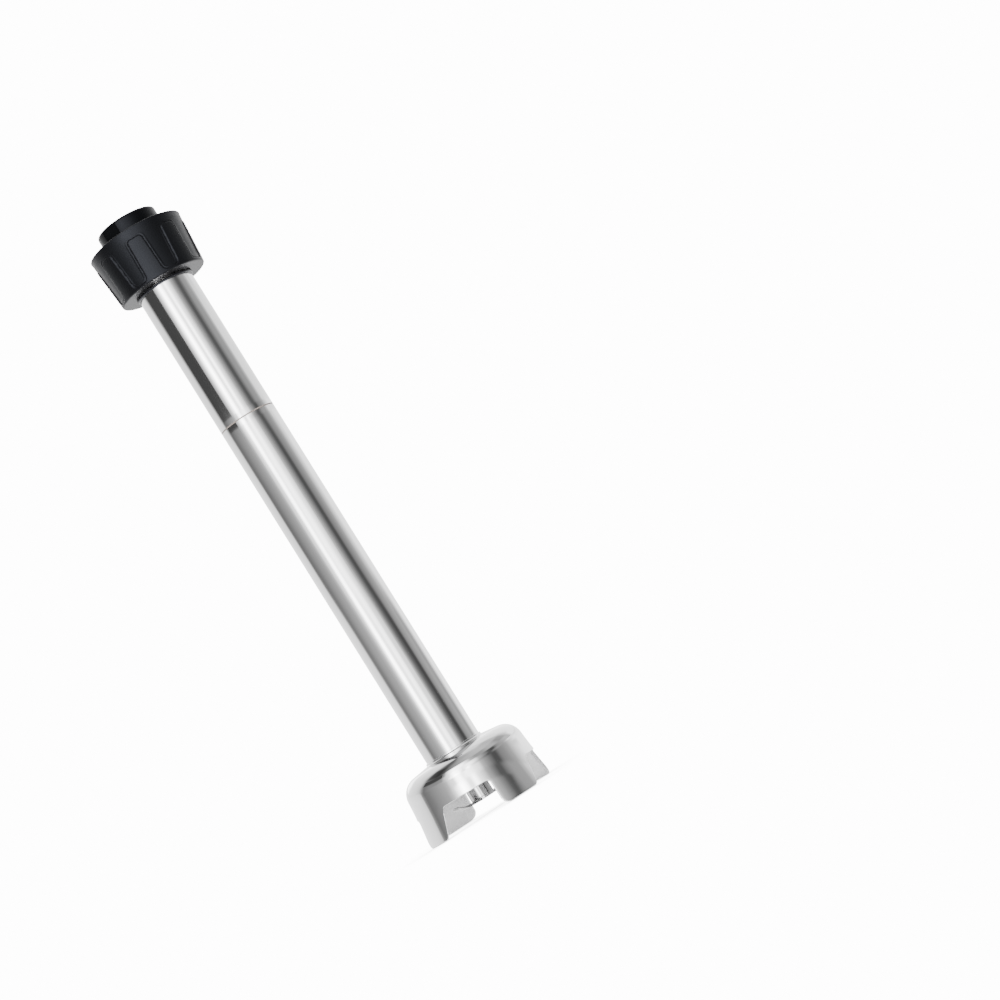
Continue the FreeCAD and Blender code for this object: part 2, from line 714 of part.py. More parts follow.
def upper_bearing_wave_washer():
    """Preload washer between the upper bearing and its retaining ring."""
    bottom = UPPER_BEARING_Z + BEARING_WIDTH
    return ring(BEARING_RADIUS - 2.2, BEARING_RADIUS - 0.2, bottom, bottom + WASHER_HEIGHT)


def build():
    """Every piece by its node name."""
    lower_ring_z = LOWER_BEARING_Z + BEARING_WIDTH
    upper_ring_z = UPPER_BEARING_Z + BEARING_WIDTH + WASHER_HEIGHT
    pieces = {
        "bell_guard": bell_guard(),
        "lower_tube": lower_tube(),
        "upper_tube": upper_tube(),
        "tube_joint_sleeve": tube_joint_sleeve(),
        "shaft_guide_bush": shaft_guide_bush(),
        "lower_bearing_housing": lower_bearing_housing(),
        "housing_o_ring": o_ring(TUBE_BORE, HOUSING_O_RING_Z),
        "housing_retaining_ring": housing_retaining_ring(),
        "seal_cover": seal_cover(),
        "outer_lip_seal": lip_seal(0),
        "inner_lip_seal": lip_seal(1),
        "lower_bearing_retaining_ring": bearing_retaining_ring(lower_ring_z, 90),
        "coupling_head": coupling_head(),
        "head_o_ring": o_ring(TUBE_BORE, HEAD_O_RING_Z),
        "head_screws": head_screws(),
        "nut_stop_ring": nut_stop_ring(),
        "upper_bearing_wave_washer": upper_bearing_wave_washer(),
        "upper_bearing_retaining_ring": bearing_retaining_ring(upper_ring_z, 45),
        "coupling_nut": coupling_nut(),
        "drive_shaft": drive_shaft(),
        "drive_coupling": drive_coupling(),
        "blade_hub": blade_hub(),
        "blade": blade(),
        "blade_screw": blade_screw(),
    }
    for name, bottom in (("lower", LOWER_BEARING_Z), ("upper", UPPER_BEARING_Z)):
        pieces[name + "_bearing_outer_race"] = bearing_outer_race(bottom)
        pieces[name + "_bearing_inner_race"] = bearing_inner_race(bottom)
        pieces[name + "_bearing_balls"] = bearing_balls(bottom)
        pieces[name + "_bearing_cage"] = bearing_cage(bottom)
        pieces[name + "_bearing_shields"] = bearing_shields(bottom)
    return pieces


os.makedirs("parts", exist_ok=True)
for name, shape in build().items():
    shape.exportStep("parts/" + name + ".step")
    print(name, "solids", len(shape.Solids), "valid", shape.isValid(), "volume", round(shape.Volume, 1))
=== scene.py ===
import math

import bmesh
import bpy
import numpy as np
from mathutils import Matrix, Vector


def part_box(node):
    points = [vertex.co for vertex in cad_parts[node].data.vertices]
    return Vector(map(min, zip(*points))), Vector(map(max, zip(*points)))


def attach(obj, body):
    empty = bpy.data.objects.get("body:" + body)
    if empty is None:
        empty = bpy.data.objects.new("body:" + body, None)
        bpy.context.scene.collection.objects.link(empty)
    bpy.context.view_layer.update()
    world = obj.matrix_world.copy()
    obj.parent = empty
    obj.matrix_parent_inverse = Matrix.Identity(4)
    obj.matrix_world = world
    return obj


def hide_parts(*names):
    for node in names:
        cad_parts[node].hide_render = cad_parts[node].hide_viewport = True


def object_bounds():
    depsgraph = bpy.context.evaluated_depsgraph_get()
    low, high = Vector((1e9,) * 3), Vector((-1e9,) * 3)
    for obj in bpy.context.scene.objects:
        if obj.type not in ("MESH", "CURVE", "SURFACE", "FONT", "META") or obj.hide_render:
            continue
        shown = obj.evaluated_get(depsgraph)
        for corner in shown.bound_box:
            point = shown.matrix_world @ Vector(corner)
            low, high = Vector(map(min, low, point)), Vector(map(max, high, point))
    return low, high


# Looks of the blending shaft: a brushed tube, a polished bell guard with its blade, and a black
# coupling nut. Metres, +Z up the shaft, origin at the centre of the bell's rim.

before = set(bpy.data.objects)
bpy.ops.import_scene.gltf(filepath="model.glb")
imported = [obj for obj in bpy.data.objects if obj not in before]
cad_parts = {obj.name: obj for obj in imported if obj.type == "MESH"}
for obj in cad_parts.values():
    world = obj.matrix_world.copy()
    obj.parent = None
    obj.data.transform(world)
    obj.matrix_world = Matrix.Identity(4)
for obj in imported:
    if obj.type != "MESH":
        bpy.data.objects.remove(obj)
cad_low, cad_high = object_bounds()

MM = 0.001
SEGMENTS = 256
ARC_STEP = math.radians(9)
SHARP_ANGLE = math.radians(38)

# Places read from the frame
TUBE_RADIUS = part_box("lower_tube")[1].x
TUBE_SEAT_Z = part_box("lower_tube")[0].z
TUBE_JOINT_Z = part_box("lower_tube")[1].z
TUBE_TOP_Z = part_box("upper_tube")[1].z
BELL_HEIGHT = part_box("bell_guard")[1].z
NUT_BOTTOM_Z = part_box("coupling_nut")[0].z
NUT_TOP_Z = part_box("coupling_nut")[1].z

# Tube
TUBE_WALL = 1.5 * MM
TUBE_JOINT_CHAMFER = 0.35 * MM
TUBE_JOINT_MARGIN = 0.05 * MM
TUBE_MESH_STEP = 4.0 * MM

# Bell guard
BELL_RIM_RADIUS = 42.0 * MM
BELL_WALL = 2.0 * MM
BELL_WAIST_RADIUS = 39.15 * MM
BELL_WAIST_Z = 19.5 * MM
BELL_WAIST_BLEND = 7.0 * MM
BELL_SHOULDER_RADIUS = 37.7 * MM
BELL_SHOULDER_Z = 38.4 * MM
BELL_SHOULDER_ROUND = 11.2 * MM
BELL_NECK_RADIUS = 18.3 * MM
BELL_NECK_FOOT_Z = 41.1 * MM
BELL_NECK_FILLET = 0.6 * MM
BELL_NECK_TOP_ROUND = 0.2 * MM
BELL_SEAT_FLOOR_Z = 36.6 * MM
BELL_SEAT_RADIUS = 18.9 * MM
BELL_SEAT_ROUND = 0.4 * MM
BELL_SEAT_MOUTH_ROUND = 0.2 * MM
BELL_HOLE_RADIUS = 13.7 * MM
BELL_BAND_Z = 26.5 * MM
BELL_EDGE_ROUND = 0.45 * MM
BELL_EDGE_STEPS = 5
BELL_SKIRT_ROWS = 30
BELL_MESH_STEP = 1.6 * MM

# Windows of the bell: steep on one side and slanted on the other
WINDOWS = 4
WINDOW_TURN = math.radians(-102.0)
WINDOW_HEIGHT = 17.2 * MM
STEEP_SIDE_TOP = 16.8 * MM
STEEP_SIDE_FOOT = 17.8 * MM
STEEP_SIDE_ROUND = 2.5 * MM
STEEP_LEG_ROUND = 5.0 * MM
SLANTED_SIDE_TOP = 14.1 * MM
SLANTED_SIDE_FOOT = 20.8 * MM
SLANTED_SIDE_ROUND = 2.4 * MM
SLANTED_LEG_ROUND = 3.3 * MM
WINDOW_COLUMNS = 112
LEG_COLUMNS = 24

# Blade
# Past this radius the blade is satin and is painted paler as a highlight
BLADE_SATIN_AND_PAINTED_HIGHLIGHT_RADIUS = 15.5 * MM

# Coupling nut
NUT_FOOT_RADIUS = 27.6 * MM
NUT_CROWN_RADIUS = 30.25 * MM
NUT_FOOT_ROUND = 1.1 * MM
NUT_CROWN_ROUND = 0.8 * MM
NUT_BORE = 17.9 * MM
NUT_BORE_CHAMFER = 0.7 * MM
NUT_THREAD_RADIUS = 25.8 * MM
NUT_THREAD_PITCH = 3.0 * MM
NUT_THREAD_DEPTH = 0.9 * MM
NUT_THREAD_FLATNESS = 1.5
NUT_THREAD_BELOW_TOP = 2.0 * MM
NUT_THREAD_ABOVE_FLOOR = 1.0 * MM
NUT_MOUTH_CHAMFER = 1.2 * MM
NUT_FLOOR_Z = 369.5 * MM
NUT_ARCHES = 8
NUT_ARCH_TURN = math.radians(-89.5)
NUT_COLUMNS = 640
NUT_SIDE_ROWS = 110
NUT_THREAD_MESH_STEP = 0.5 * MM
NUT_MESH_STEP = 2.0 * MM
ARCH_MESH_STEP = 0.3 * MM
ARCH_TOP_BELOW_CROWN = 6.2 * MM
ARCH_FOOT_ABOVE_BOTTOM = 1.7 * MM
ARCH_TOP_HALF_WIDTH = 4.9 * MM
ARCH_FOOT_HALF_WIDTH = 6.2 * MM
ARCH_TOP_ROUND = 2.4 * MM
ARCH_FOOT_ROUND = 3.2 * MM
ARCH_STEP = 0.3 * MM
ARCH_STEP_FADE = 1.5 * MM
PANEL_HOLLOW = 0.5 * MM
PANEL_FOOT_FADE = 4.0 * MM
PANEL_TOP_FADE = 10.0 * MM
PANEL_ABOVE_ARCH = 2.0 * MM
PANEL_SIDE_FADE = 1.5 * MM
GROOVE_DEPTH = 0.5 * MM
GROOVE_HALF_WIDTH = 0.38 * MM


# ---------------------------------------------------------------- mesh tools

def corner_arc(before, here, after, radius):
    """Points of the arc that rounds the corner at here, between its two tangent points."""
    back = (before - here).normalized()
    ahead = (after - here).normalized()
    half = back.angle(ahead) / 2
    centre = here + (back + ahead).normalized() * (radius / math.sin(half))
    start = here + back * (radius / math.tan(half)) - centre
    end = here + ahead * (radius / math.tan(half)) - centre
    sweep = start.angle_signed(end)
    steps = max(2, math.ceil(abs(sweep) / ARC_STEP))
    return [centre + Matrix.Rotation(-sweep * i / steps, 2) @ start for i in range(steps + 1)]


def rounded(corners, closed=True):
    """Points along (x, y) or (x, y, radius) corners, with an arc at each corner that has a radius."""
    spots = [Vector(corner[:2]) for corner in corners]
    points = []
    for index, corner in enumerate(corners):
        inner = closed or 0 < index < len(corners) - 1
        if len(corner) == 3 and inner:
            after = spots[(index + 1) % len(spots)]
            points += corner_arc(spots[index - 1], spots[index], after, corner[2])
        else:
            points.append(spots[index])
    return points


def split_long(points, longest, closed=True):
    """The same outline with its long straight stretches cut into equal steps."""
    result = []
    ends = points[1:] + points[:1] if closed else points[1:]
    for start, end in zip(points, ends):
        steps = max(1, math.ceil((end - start).length / longest))
        result += [start.lerp(end, step / steps) for step in range(steps)]
    return result if closed else result + [points[-1]]


def skin(name, grid, body, replaced=()):
    """Piece whose surface is a grid of points, rows by columns by xyz, closed both ways."""
    rows, columns = grid.shape[:2]
    index = np.arange(rows * columns).reshape(rows, columns)
    ahead = np.roll(index, -1, 0)
    faces = np.stack([index, np.roll(index, -1, 1), np.roll(ahead, -1, 1), ahead], -1)
    mesh = bpy.data.meshes.new(name)
    mesh.from_pydata(grid.reshape(-1, 3).tolist(), [], faces.reshape(-1, 4).tolist())
    return piece(name, mesh, body, replaced)


def piece(name, mesh, body, replaced=()):
    """Object of a mesh with outward faces, smooth apart from its sharp edges, riding on a body."""
    work = bmesh.new()
    work.from_mesh(mesh)
    bmesh.ops.recalc_face_normals(work, faces=work.faces)
    work.to_mesh(mesh)
    work.free()
    mesh.polygons.foreach_set("use_smooth", [True] * len(mesh.polygons))
    mesh.set_sharp_from_angle(angle=SHARP_ANGLE)
    made = bpy.data.objects.new(name, mesh)
    bpy.context.scene.collection.objects.link(made)
    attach(made, body)
    if replaced:
        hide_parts(*replaced)
    return made


def revolve(profile, columns=SEGMENTS):
    """Grid of a closed (radius, z) profile turned about Z."""
    turn = np.arange(columns) * (math.tau / columns)
    radius = np.array([point[0] for point in profile])[:, None]
    height = np.array([point[1] for point in profile])[:, None]
    ones = np.ones((1, columns))
    return np.stack([radius * np.cos(turn), radius * np.sin(turn), height * ones], -1)


def finish_as(made, slot, materials):
    """Gives a piece the material of a record slot."""
    made.data.materials.append(materials[slot])


def stage_object(name, work):
    """Object of the faces in a bmesh, linked to the scene."""
    mesh = bpy.data.meshes.new(name)
    work.to_mesh(mesh)
    work.free()
    made = bpy.data.objects.new(name, mesh)
    bpy.context.scene.collection.objects.link(made)
    return made


# ---------------------------------------------------------------- tube

def lower_tube():
    """Lower tube, from its seat in the bell to the joint line."""
    inner = TUBE_RADIUS - TUBE_WALL
    profile = rounded([
        (inner, TUBE_SEAT_Z),
        (TUBE_RADIUS, TUBE_SEAT_Z),
        (TUBE_RADIUS, TUBE_JOINT_Z - TUBE_JOINT_CHAMFER, TUBE_JOINT_CHAMFER / 2),
        (TUBE_RADIUS - TUBE_JOINT_CHAMFER, TUBE_JOINT_Z),
        (inner, TUBE_JOINT_Z),
    ])
    grid = revolve(split_long(profile, TUBE_MESH_STEP))
    return skin("lower_tube_shell", grid, "shaft_housing", ["lower_tube"])


def upper_tube():
    """Upper tube, from the joint line to the head's flange."""
    inner = TUBE_RADIUS - TUBE_WALL
    profile = rounded([
        (inner, TUBE_JOINT_Z),
        (TUBE_RADIUS - TUBE_JOINT_CHAMFER, TUBE_JOINT_Z),
        (TUBE_RADIUS, TUBE_JOINT_Z + TUBE_JOINT_CHAMFER, TUBE_JOINT_CHAMFER / 2),
        (TUBE_RADIUS, TUBE_TOP_Z),
        (inner, TUBE_TOP_Z),
    ])
    grid = revolve(split_long(profile, TUBE_MESH_STEP))
    return skin("upper_tube_shell", grid, "shaft_housing", ["upper_tube"])


# ---------------------------------------------------------------- bell guard

def inset_corner(before, here, after, distance):
    """The corner at here, moved so that both of its lines shift sideways by a distance."""
    back = (before - here).normalized()
    ahead = (after - here).normalized()
    half = back.angle(ahead) / 2
    return here + (back + ahead).normalized() * (distance / math.sin(half))


def flare(rim, waist, shoulder):
    """Radius of the bell's side by height: two cones through three points, blended at the waist."""
    low = (waist.x - rim.x) / (waist.y - rim.y)
    high = (shoulder.x - waist.x) / (shoulder.y - waist.y)
    reach = BELL_WAIST_BLEND

    def radius(z):
        rise = z - waist.y
        bend = (np.clip(rise, -reach, reach) + reach) ** 2 / (4 * reach) + np.maximum(rise - reach, 0)
        return waist.x + low * rise + (high - low) * bend

    return radius


def window_edge():
    """Edge of a window from foot to foot, as (offset, z) from its middle, with its inward direction."""
    path = rounded([
        (-SLANTED_SIDE_FOOT - 2 * SLANTED_LEG_ROUND, 0),
        (-SLANTED_SIDE_FOOT, 0, SLANTED_LEG_ROUND),
        (-SLANTED_SIDE_TOP, WINDOW_HEIGHT, SLANTED_SIDE_ROUND),
        (STEEP_SIDE_TOP, WINDOW_HEIGHT, STEEP_SIDE_ROUND),
        (STEEP_SIDE_FOOT, 0, STEEP_LEG_ROUND),
        (STEEP_SIDE_FOOT + 2 * STEEP_LEG_ROUND, 0),
    ], closed=False)[1:-1]
    path = np.array([tuple(point) for point in path])
    run = np.concatenate([[0], np.cumsum(np.linalg.norm(np.diff(path, axis=0), axis=1))])
    steps = np.linspace(0, run[-1], WINDOW_COLUMNS)
    edge = np.stack([np.interp(steps, run, path[:, 0]), np.interp(steps, run, path[:, 1])], -1)
    along = np.gradient(edge, axis=0)
    along /= np.linalg.norm(along, axis=1)[:, None]
    inward = np.stack([-along[:, 1], along[:, 0]], -1)
    inward[[0, -1]] = (0, 1)
    return edge, inward


def edge_row(edge, inward, distance, radius_of, sink):
    """One row round a window and the leg after it: angle, radius and z, at a distance from the edge."""
    spot = edge + inward * distance
    height = np.concatenate([spot[:, 1], np.full(LEG_COLUMNS, distance)])
    across = np.arcsin(spot[:, 0] / radius_of(spot[:, 1]))
    leg = np.linspace(across[-1], across[0] + math.tau / WINDOWS, LEG_COLUMNS + 2)[1:-1]
    return np.concatenate([across, leg]), radius_of(height) + sink, height


def skirt_rows(radius_of, outward):
    """Rows down one face of the skirt, from its whole band to its rounded edge."""
    edge, inward = window_edge()
    angle, _, height = edge_row(edge, inward, BELL_EDGE_ROUND, radius_of, 0)
    band = band_angles()
    rows = []
    for share in np.linspace(0, 1, BELL_SKIRT_ROWS):
        level = BELL_BAND_Z + (height - BELL_BAND_Z) * share
        rows.append((band + (angle - band) * share, radius_of(level), level))
    for step in range(1, BELL_EDGE_STEPS + 1):
        turn = math.pi / 2 * step / BELL_EDGE_STEPS
        sink = -outward * BELL_EDGE_ROUND * (1 - math.cos(turn))
        rows.append(edge_row(edge, inward, BELL_EDGE_ROUND * (1 - math.sin(turn)), radius_of, sink))
    return rows


def band_angles():
    """Evenly spaced angles of one window and one leg on the skirt's whole band."""
    columns = WINDOW_COLUMNS + LEG_COLUMNS
    start = -math.asin(SLANTED_SIDE_FOOT / BELL_RIM_RADIUS)
    return start + np.arange(columns) * (math.tau / WINDOWS / columns)


def bell_guard():
    """Pressed bell: roof, rounded shoulder and a flared skirt with four windows, all edges softened."""
    neck = Vector((BELL_NECK_RADIUS, BELL_NECK_FOOT_Z))
    shoulder = Vector((BELL_SHOULDER_RADIUS, BELL_SHOULDER_Z))
    waist = Vector((BELL_WAIST_RADIUS, BELL_WAIST_Z))
    rim = Vector((BELL_RIM_RADIUS, 0))
    inner_rim = rim - Vector((BELL_WALL, 0))
    inner_shoulder = inset_corner(neck, shoulder, waist, BELL_WALL)
    inner_waist = waist * 2 - inset_corner(shoulder, waist, rim, BELL_WALL)
    outer_of = flare(rim, waist, shoulder)
    inner_of = flare(inner_rim, inner_waist, inner_shoulder)
    roof_slope = (neck.y - shoulder.y) / (shoulder.x - neck.x)
    underside_z = inner_shoulder.y + roof_slope * (inner_shoulder.x - BELL_SEAT_RADIUS)
    profile = rounded([
        (outer_of(BELL_BAND_Z), BELL_BAND_Z),
        (*shoulder, BELL_SHOULDER_ROUND),
        (*neck, BELL_NECK_FILLET),
        (BELL_NECK_RADIUS, BELL_HEIGHT, BELL_NECK_TOP_ROUND),
        (TUBE_RADIUS, BELL_HEIGHT),
        (TUBE_RADIUS, TUBE_SEAT_Z),
        (BELL_HOLE_RADIUS, TUBE_SEAT_Z),
        (BELL_HOLE_RADIUS, BELL_SEAT_FLOOR_Z),
        (BELL_SEAT_RADIUS, BELL_SEAT_FLOOR_Z, BELL_SEAT_ROUND),
        (BELL_SEAT_RADIUS, underside_z, BELL_SEAT_MOUTH_ROUND),
        (*inner_shoulder, BELL_SHOULDER_ROUND - BELL_WALL),
        (inner_of(BELL_BAND_Z), BELL_BAND_Z),
    ], closed=False)
    profile = split_long(profile, BELL_MESH_STEP, closed=False)
    band = band_angles()
    rows = skirt_rows(outer_of, 1)[::-1]
    rows += [(band, np.full(len(band), spot.x), np.full(len(band), spot.y)) for spot in profile[1:-1]]
    rows += skirt_rows(inner_of, -1)
    turns = WINDOW_TURN + np.arange(WINDOWS) * (math.tau / WINDOWS)
    angle = np.stack([row[0] for row in rows])
    angle = np.concatenate([angle + turn for turn in turns], 1)
    radius = np.tile(np.stack([row[1] for row in rows]), WINDOWS)
    height = np.tile(np.stack([row[2] for row in rows]), WINDOWS)
    grid = np.stack([radius * np.cos(angle), radius * np.sin(angle), height], -1)
    return skin("bell_guard_shell", grid, "shaft_housing", ["bell_guard"])


# ---------------------------------------------------------------- coupling nut

def arch_relief(arc, z):
    """How far the nut's side stands below its full radius at an arc length and height from an arch."""
    period = math.tau * (NUT_FOOT_RADIUS + NUT_CROWN_RADIUS) / 2 / NUT_ARCHES
    low = NUT_BOTTOM_Z + ARCH_FOOT_ABOVE_BOTTOM
    high = NUT_TOP_Z - ARCH_TOP_BELOW_CROWN
    line = split_long(rounded([
        (0, high),
        (ARCH_TOP_HALF_WIDTH, high, ARCH_TOP_ROUND),
        (ARCH_FOOT_HALF_WIDTH, low, ARCH_FOOT_ROUND),
        (period / 2, low),
    ], closed=False), ARCH_MESH_STEP, closed=False)
    line = np.array([tuple(point) for point in line])
    across = arc[..., None] - line[:, 0]
    along = z[..., None] - line[:, 1]
    distance = np.sqrt((across ** 2 + along ** 2).min(-1))
    reach = np.interp(z, line[::-1, 1], line[::-1, 0])
    on_panel = (z > high) | ((arc > reach) & (z > low))
    side = np.where(on_panel, 1, -1) * distance
    panel = np.clip(side / GROOVE_HALF_WIDTH, -1, 1) / 2 + 0.5
    middle = np.clip((arc - period / 2) / (period / 2 - reach.min()), -1, 1)
    above_foot = np.clip((z - low) / PANEL_FOOT_FADE, 0, 1)
    below_top = np.clip((high + PANEL_ABOVE_ARCH - z) / PANEL_TOP_FADE, 0, 1)
    from_side = np.clip(side / PANEL_SIDE_FADE, 0, 1)
    hollow = PANEL_HOLLOW * (1 - middle ** 2) * np.sqrt(above_foot * below_top) * from_side
    groove = GROOVE_DEPTH * np.exp(-(distance / GROOVE_HALF_WIDTH) ** 2)
    edge = np.clip((NUT_TOP_Z - z) / ARCH_STEP_FADE, 0, 1)
    return panel * ARCH_STEP * edge + hollow + groove


def coupling_nut():
    """Nut with eight raised arches, each outlined by one running groove, and a thread inside."""
    profile = rounded([
        (NUT_BORE + NUT_BORE_CHAMFER, NUT_BOTTOM_Z),
        (NUT_FOOT_RADIUS, NUT_BOTTOM_Z, NUT_FOOT_ROUND),
        (NUT_CROWN_RADIUS, NUT_TOP_Z, NUT_CROWN_ROUND),
        (NUT_THREAD_RADIUS + NUT_MOUTH_CHAMFER, NUT_TOP_Z),
        (NUT_THREAD_RADIUS, NUT_TOP_Z - NUT_MOUTH_CHAMFER),
        (NUT_THREAD_RADIUS, NUT_FLOOR_Z),
        (NUT_BORE, NUT_FLOOR_Z),
        (NUT_BORE, NUT_BOTTOM_Z + NUT_BORE_CHAMFER),
    ])
    fine = []
    longest = (NUT_TOP_Z - NUT_BOTTOM_Z) / NUT_SIDE_ROWS
    for start, end in zip(profile, profile[1:] + profile[:1]):
        outside = min(start.x, end.x) > NUT_FOOT_RADIUS - NUT_FOOT_ROUND / 2
        inside = start.x == end.x == NUT_THREAD_RADIUS
        step = longest if outside else NUT_THREAD_MESH_STEP if inside else NUT_MESH_STEP
        steps = max(1, math.ceil((end - start).length / step))
        fine += [start.lerp(end, n / steps) for n in range(steps)]
    radius = np.array([point.x for point in fine])[:, None]
    z = np.array([point.y for point in fine])[:, None]
    turn = np.arange(NUT_COLUMNS) * (math.tau / NUT_COLUMNS)
    period = math.tau / NUT_ARCHES
    folded = np.abs((turn - NUT_ARCH_TURN + period / 2) % period - period / 2)
    mean_radius = (NUT_FOOT_RADIUS + NUT_CROWN_RADIUS) / 2
    arc = np.broadcast_to(folded * mean_radius, (len(fine), NUT_COLUMNS))
    height = np.broadcast_to(z, arc.shape)
    outside = radius > NUT_FOOT_RADIUS - NUT_FOOT_ROUND / 2
    thread_top = NUT_TOP_Z - NUT_THREAD_BELOW_TOP
    thread_foot = NUT_FLOOR_Z + NUT_THREAD_ABOVE_FLOOR
    threaded = (radius == NUT_THREAD_RADIUS) & (z < thread_top) & (z > thread_foot)
    wave = np.cos(math.tau * z / NUT_THREAD_PITCH - turn)
    thread = NUT_THREAD_DEPTH * (0.5 + 0.5 * np.clip(NUT_THREAD_FLATNESS * wave, -1, 1))
    radius = radius - np.where(outside, arch_relief(arc, height), 0) + np.where(threaded, thread, 0)
    grid = np.stack([radius * np.cos(turn), radius * np.sin(turn), height], -1)
    return skin("coupling_nut_shell", grid, "nut", ["coupling_nut"])


# ---------------------------------------------------------------- shader tools

GRAIN_RANGE = (0.3, 0.7)
GRAIN_WEIGHT = 0.7
CLOUD_WEIGHT = 0.3
INNER_FACE_REACH = 0.004


class Graph:
    """Shader nodes of one tree, made by type with their inputs given by name."""

    def __init__(self, tree):
        self.tree = tree
        tree.nodes.clear()

    def node(self, kind, inputs=None, **settings):
        """New node; an input is another node's output or a constant."""
        made = self.tree.nodes.new(kind)
        for key, value in settings.items():
            setattr(made, key, value)
        for key, value in (inputs or {}).items():
            if isinstance(value, bpy.types.NodeSocket):
                self.tree.links.new(value, made.inputs[key])
            else:
                made.inputs[key].default_value = value
        return made

    def math(self, operation, *values):
        """Output of a Math node."""
        return self.node("ShaderNodeMath", dict(enumerate(values)), operation=operation).outputs[0]

    def span(self, value, low, high, to_low, to_high, smooth=False):
        """A value moved from one range to another."""
        kind = "SMOOTHSTEP" if smooth else "LINEAR"
        inputs = {"Value": value, "From Min": low, "From Max": high, "To Min": to_low, "To Max": to_high}
        return self.node("ShaderNodeMapRange", inputs, interpolation_type=kind).outputs["Result"]

    def mix(self, share, first, second):
        """Two values mixed by a share."""
        inputs = {"Factor": share, "A": first, "B": second}
        return self.node("ShaderNodeMix", inputs).outputs["Result"]

    def mix_colour(self, share, first, second):
        """Two colours mixed by a share."""
        made = self.node("ShaderNodeMix", data_type="RGBA")
        for index, value in ((0, share), (6, first), (7, second)):
            if isinstance(value, bpy.types.NodeSocket):
                self.tree.links.new(value, made.inputs[index])
            else:
                made.inputs[index].default_value = value
        return made.outputs[2]

    def ramp(self, share, stops):
        """Colour ramp through (position, grey level) stops."""
        made = self.node("ShaderNodeValToRGB", {"Fac": share})
        elements = made.color_ramp.elements
        while len(elements) < len(stops):
            elements.new(1.0)
        for element, (position, level) in zip(elements, stops):
            element.position = position
            element.color = (level, level, level, 1)
        return made.outputs["Color"]

    def stretched(self, scale):
        """Object coordinates stretched by a scale along each axis."""
        place = self.node("ShaderNodeTexCoord").outputs["Object"]
        return self.node("ShaderNodeMapping", {"Vector": place, "Scale": scale}).outputs["Vector"]

    def noise(self, scale, size, detail=2.0):
        """Noise between 0 and 1 over stretched object coordinates."""
        inputs = {"Vector": self.stretched(scale), "Scale": size, "Detail": detail}
        return self.node("ShaderNodeTexNoise", inputs).outputs["Fac"]

    def by_grain(self, grain, low, high):
        """A value that goes from low to high over the usual range of a grain."""
        return self.span(grain, *GRAIN_RANGE, low, high)

    def clouded(self, grain, cloud):
        """A grain with wide soft clouds in it."""
        fine = self.math("MULTIPLY", grain, GRAIN_WEIGHT)
        wide = self.math("MULTIPLY", cloud, CLOUD_WEIGHT)
        return self.math("ADD", fine, wide)

    def from_axis(self):
        """Vector from the Z axis to the point being shaded."""
        place = self.node("ShaderNodeTexCoord").outputs["Object"]
        inputs = {0: place, 1: (1, 1, 0)}
        return self.node("ShaderNodeVectorMath", inputs, operation="MULTIPLY").outputs[0]

    def inner_faces(self):
        """One on faces that look at the Z axis, nought on the others."""
        normal = self.node("ShaderNodeTexCoord").outputs["Normal"]
        inputs = {0: self.from_axis(), 1: normal}
        facing = self.node("ShaderNodeVectorMath", inputs, operation="DOT_PRODUCT").outputs["Value"]
        return self.span(facing, 0.0, -INNER_FACE_REACH, 0.0, 1.0)

    def near_height(self, z, reach):
        """One within a reach of a height, nought elsewhere."""
        place = self.node("ShaderNodeTexCoord").outputs["Object"]
        height = self.node("ShaderNodeSeparateXYZ", {"Vector": place}).outputs["Z"]
        away = self.math("ABSOLUTE", self.math("SUBTRACT", height, z))
        return self.math("LESS_THAN", away, reach)

    def past_radius(self, radius):
        """One further from the Z axis than a radius, nought nearer."""
        away = self.node("ShaderNodeVectorMath", {0: self.from_axis()}, operation="LENGTH")
        return self.math("GREATER_THAN", away.outputs["Value"], radius)

    def bump(self, height, depth, strength):
        """Normal of a bumped surface."""
        inputs = {"Height": height, "Distance": depth, "Strength": strength}
        return self.node("ShaderNodeBump", inputs).outputs["Normal"]

    def glow(self, level):
        """Shader that gives white light of a level."""
        inputs = {"Color": grey(1.0), "Strength": level}
        return self.node("ShaderNodeEmission", inputs).outputs["Emission"]

    def clear(self):
        """Shader that lets all light through."""
        return self.node("ShaderNodeBsdfTransparent").outputs["BSDF"]

    def seen(self):
        """One for rays from the camera, nought for the others."""
        return self.node("ShaderNodeLightPath").outputs["Is Camera Ray"]

    def mix_shaders(self, share, first, second):
        """Two shaders mixed by a share."""
        return self.node("ShaderNodeMixShader", {0: share, 1: first, 2: second}).outputs["Shader"]


def new_material(name):
    """Empty material and its graph."""
    made = bpy.data.materials.new(name + "_look")
    made.use_nodes = True
    return made, Graph(made.node_tree)


def shade(graph, **inputs):
    """Principled shader to the material's output; underscores stand for spaces in input names."""
    named = {key.replace("_", " "): value for key, value in inputs.items()}
    shader = graph.node("ShaderNodeBsdfPrincipled", named).outputs["BSDF"]
    graph.node("ShaderNodeOutputMaterial", {"Surface": shader})


def grey(level, blue=1.0):
    """Neutral colour, a little blue where blue is above one."""
    return (level, level, level * blue, 1)


# ---------------------------------------------------------------- materials

EVEN = (1, 1, 1)
ROUND_THE_AXIS = (1, 1, 30)
ALONG_THE_AXIS = (1, 1, 0.012)
CLOUD_SIZE = 35.0
PLASTIC_CLOUD_SIZE = 60.0
METAL_BUMP = 0.5
PLASTIC_BUMP = 0.6
WARM_JOINT_LINE = (0.26, 0.225, 0.205, 1)
JOINT_LINE_ROUGHNESS = 0.6
COOL_TINT = (0.9, 0.95, 1.1, 1.0)


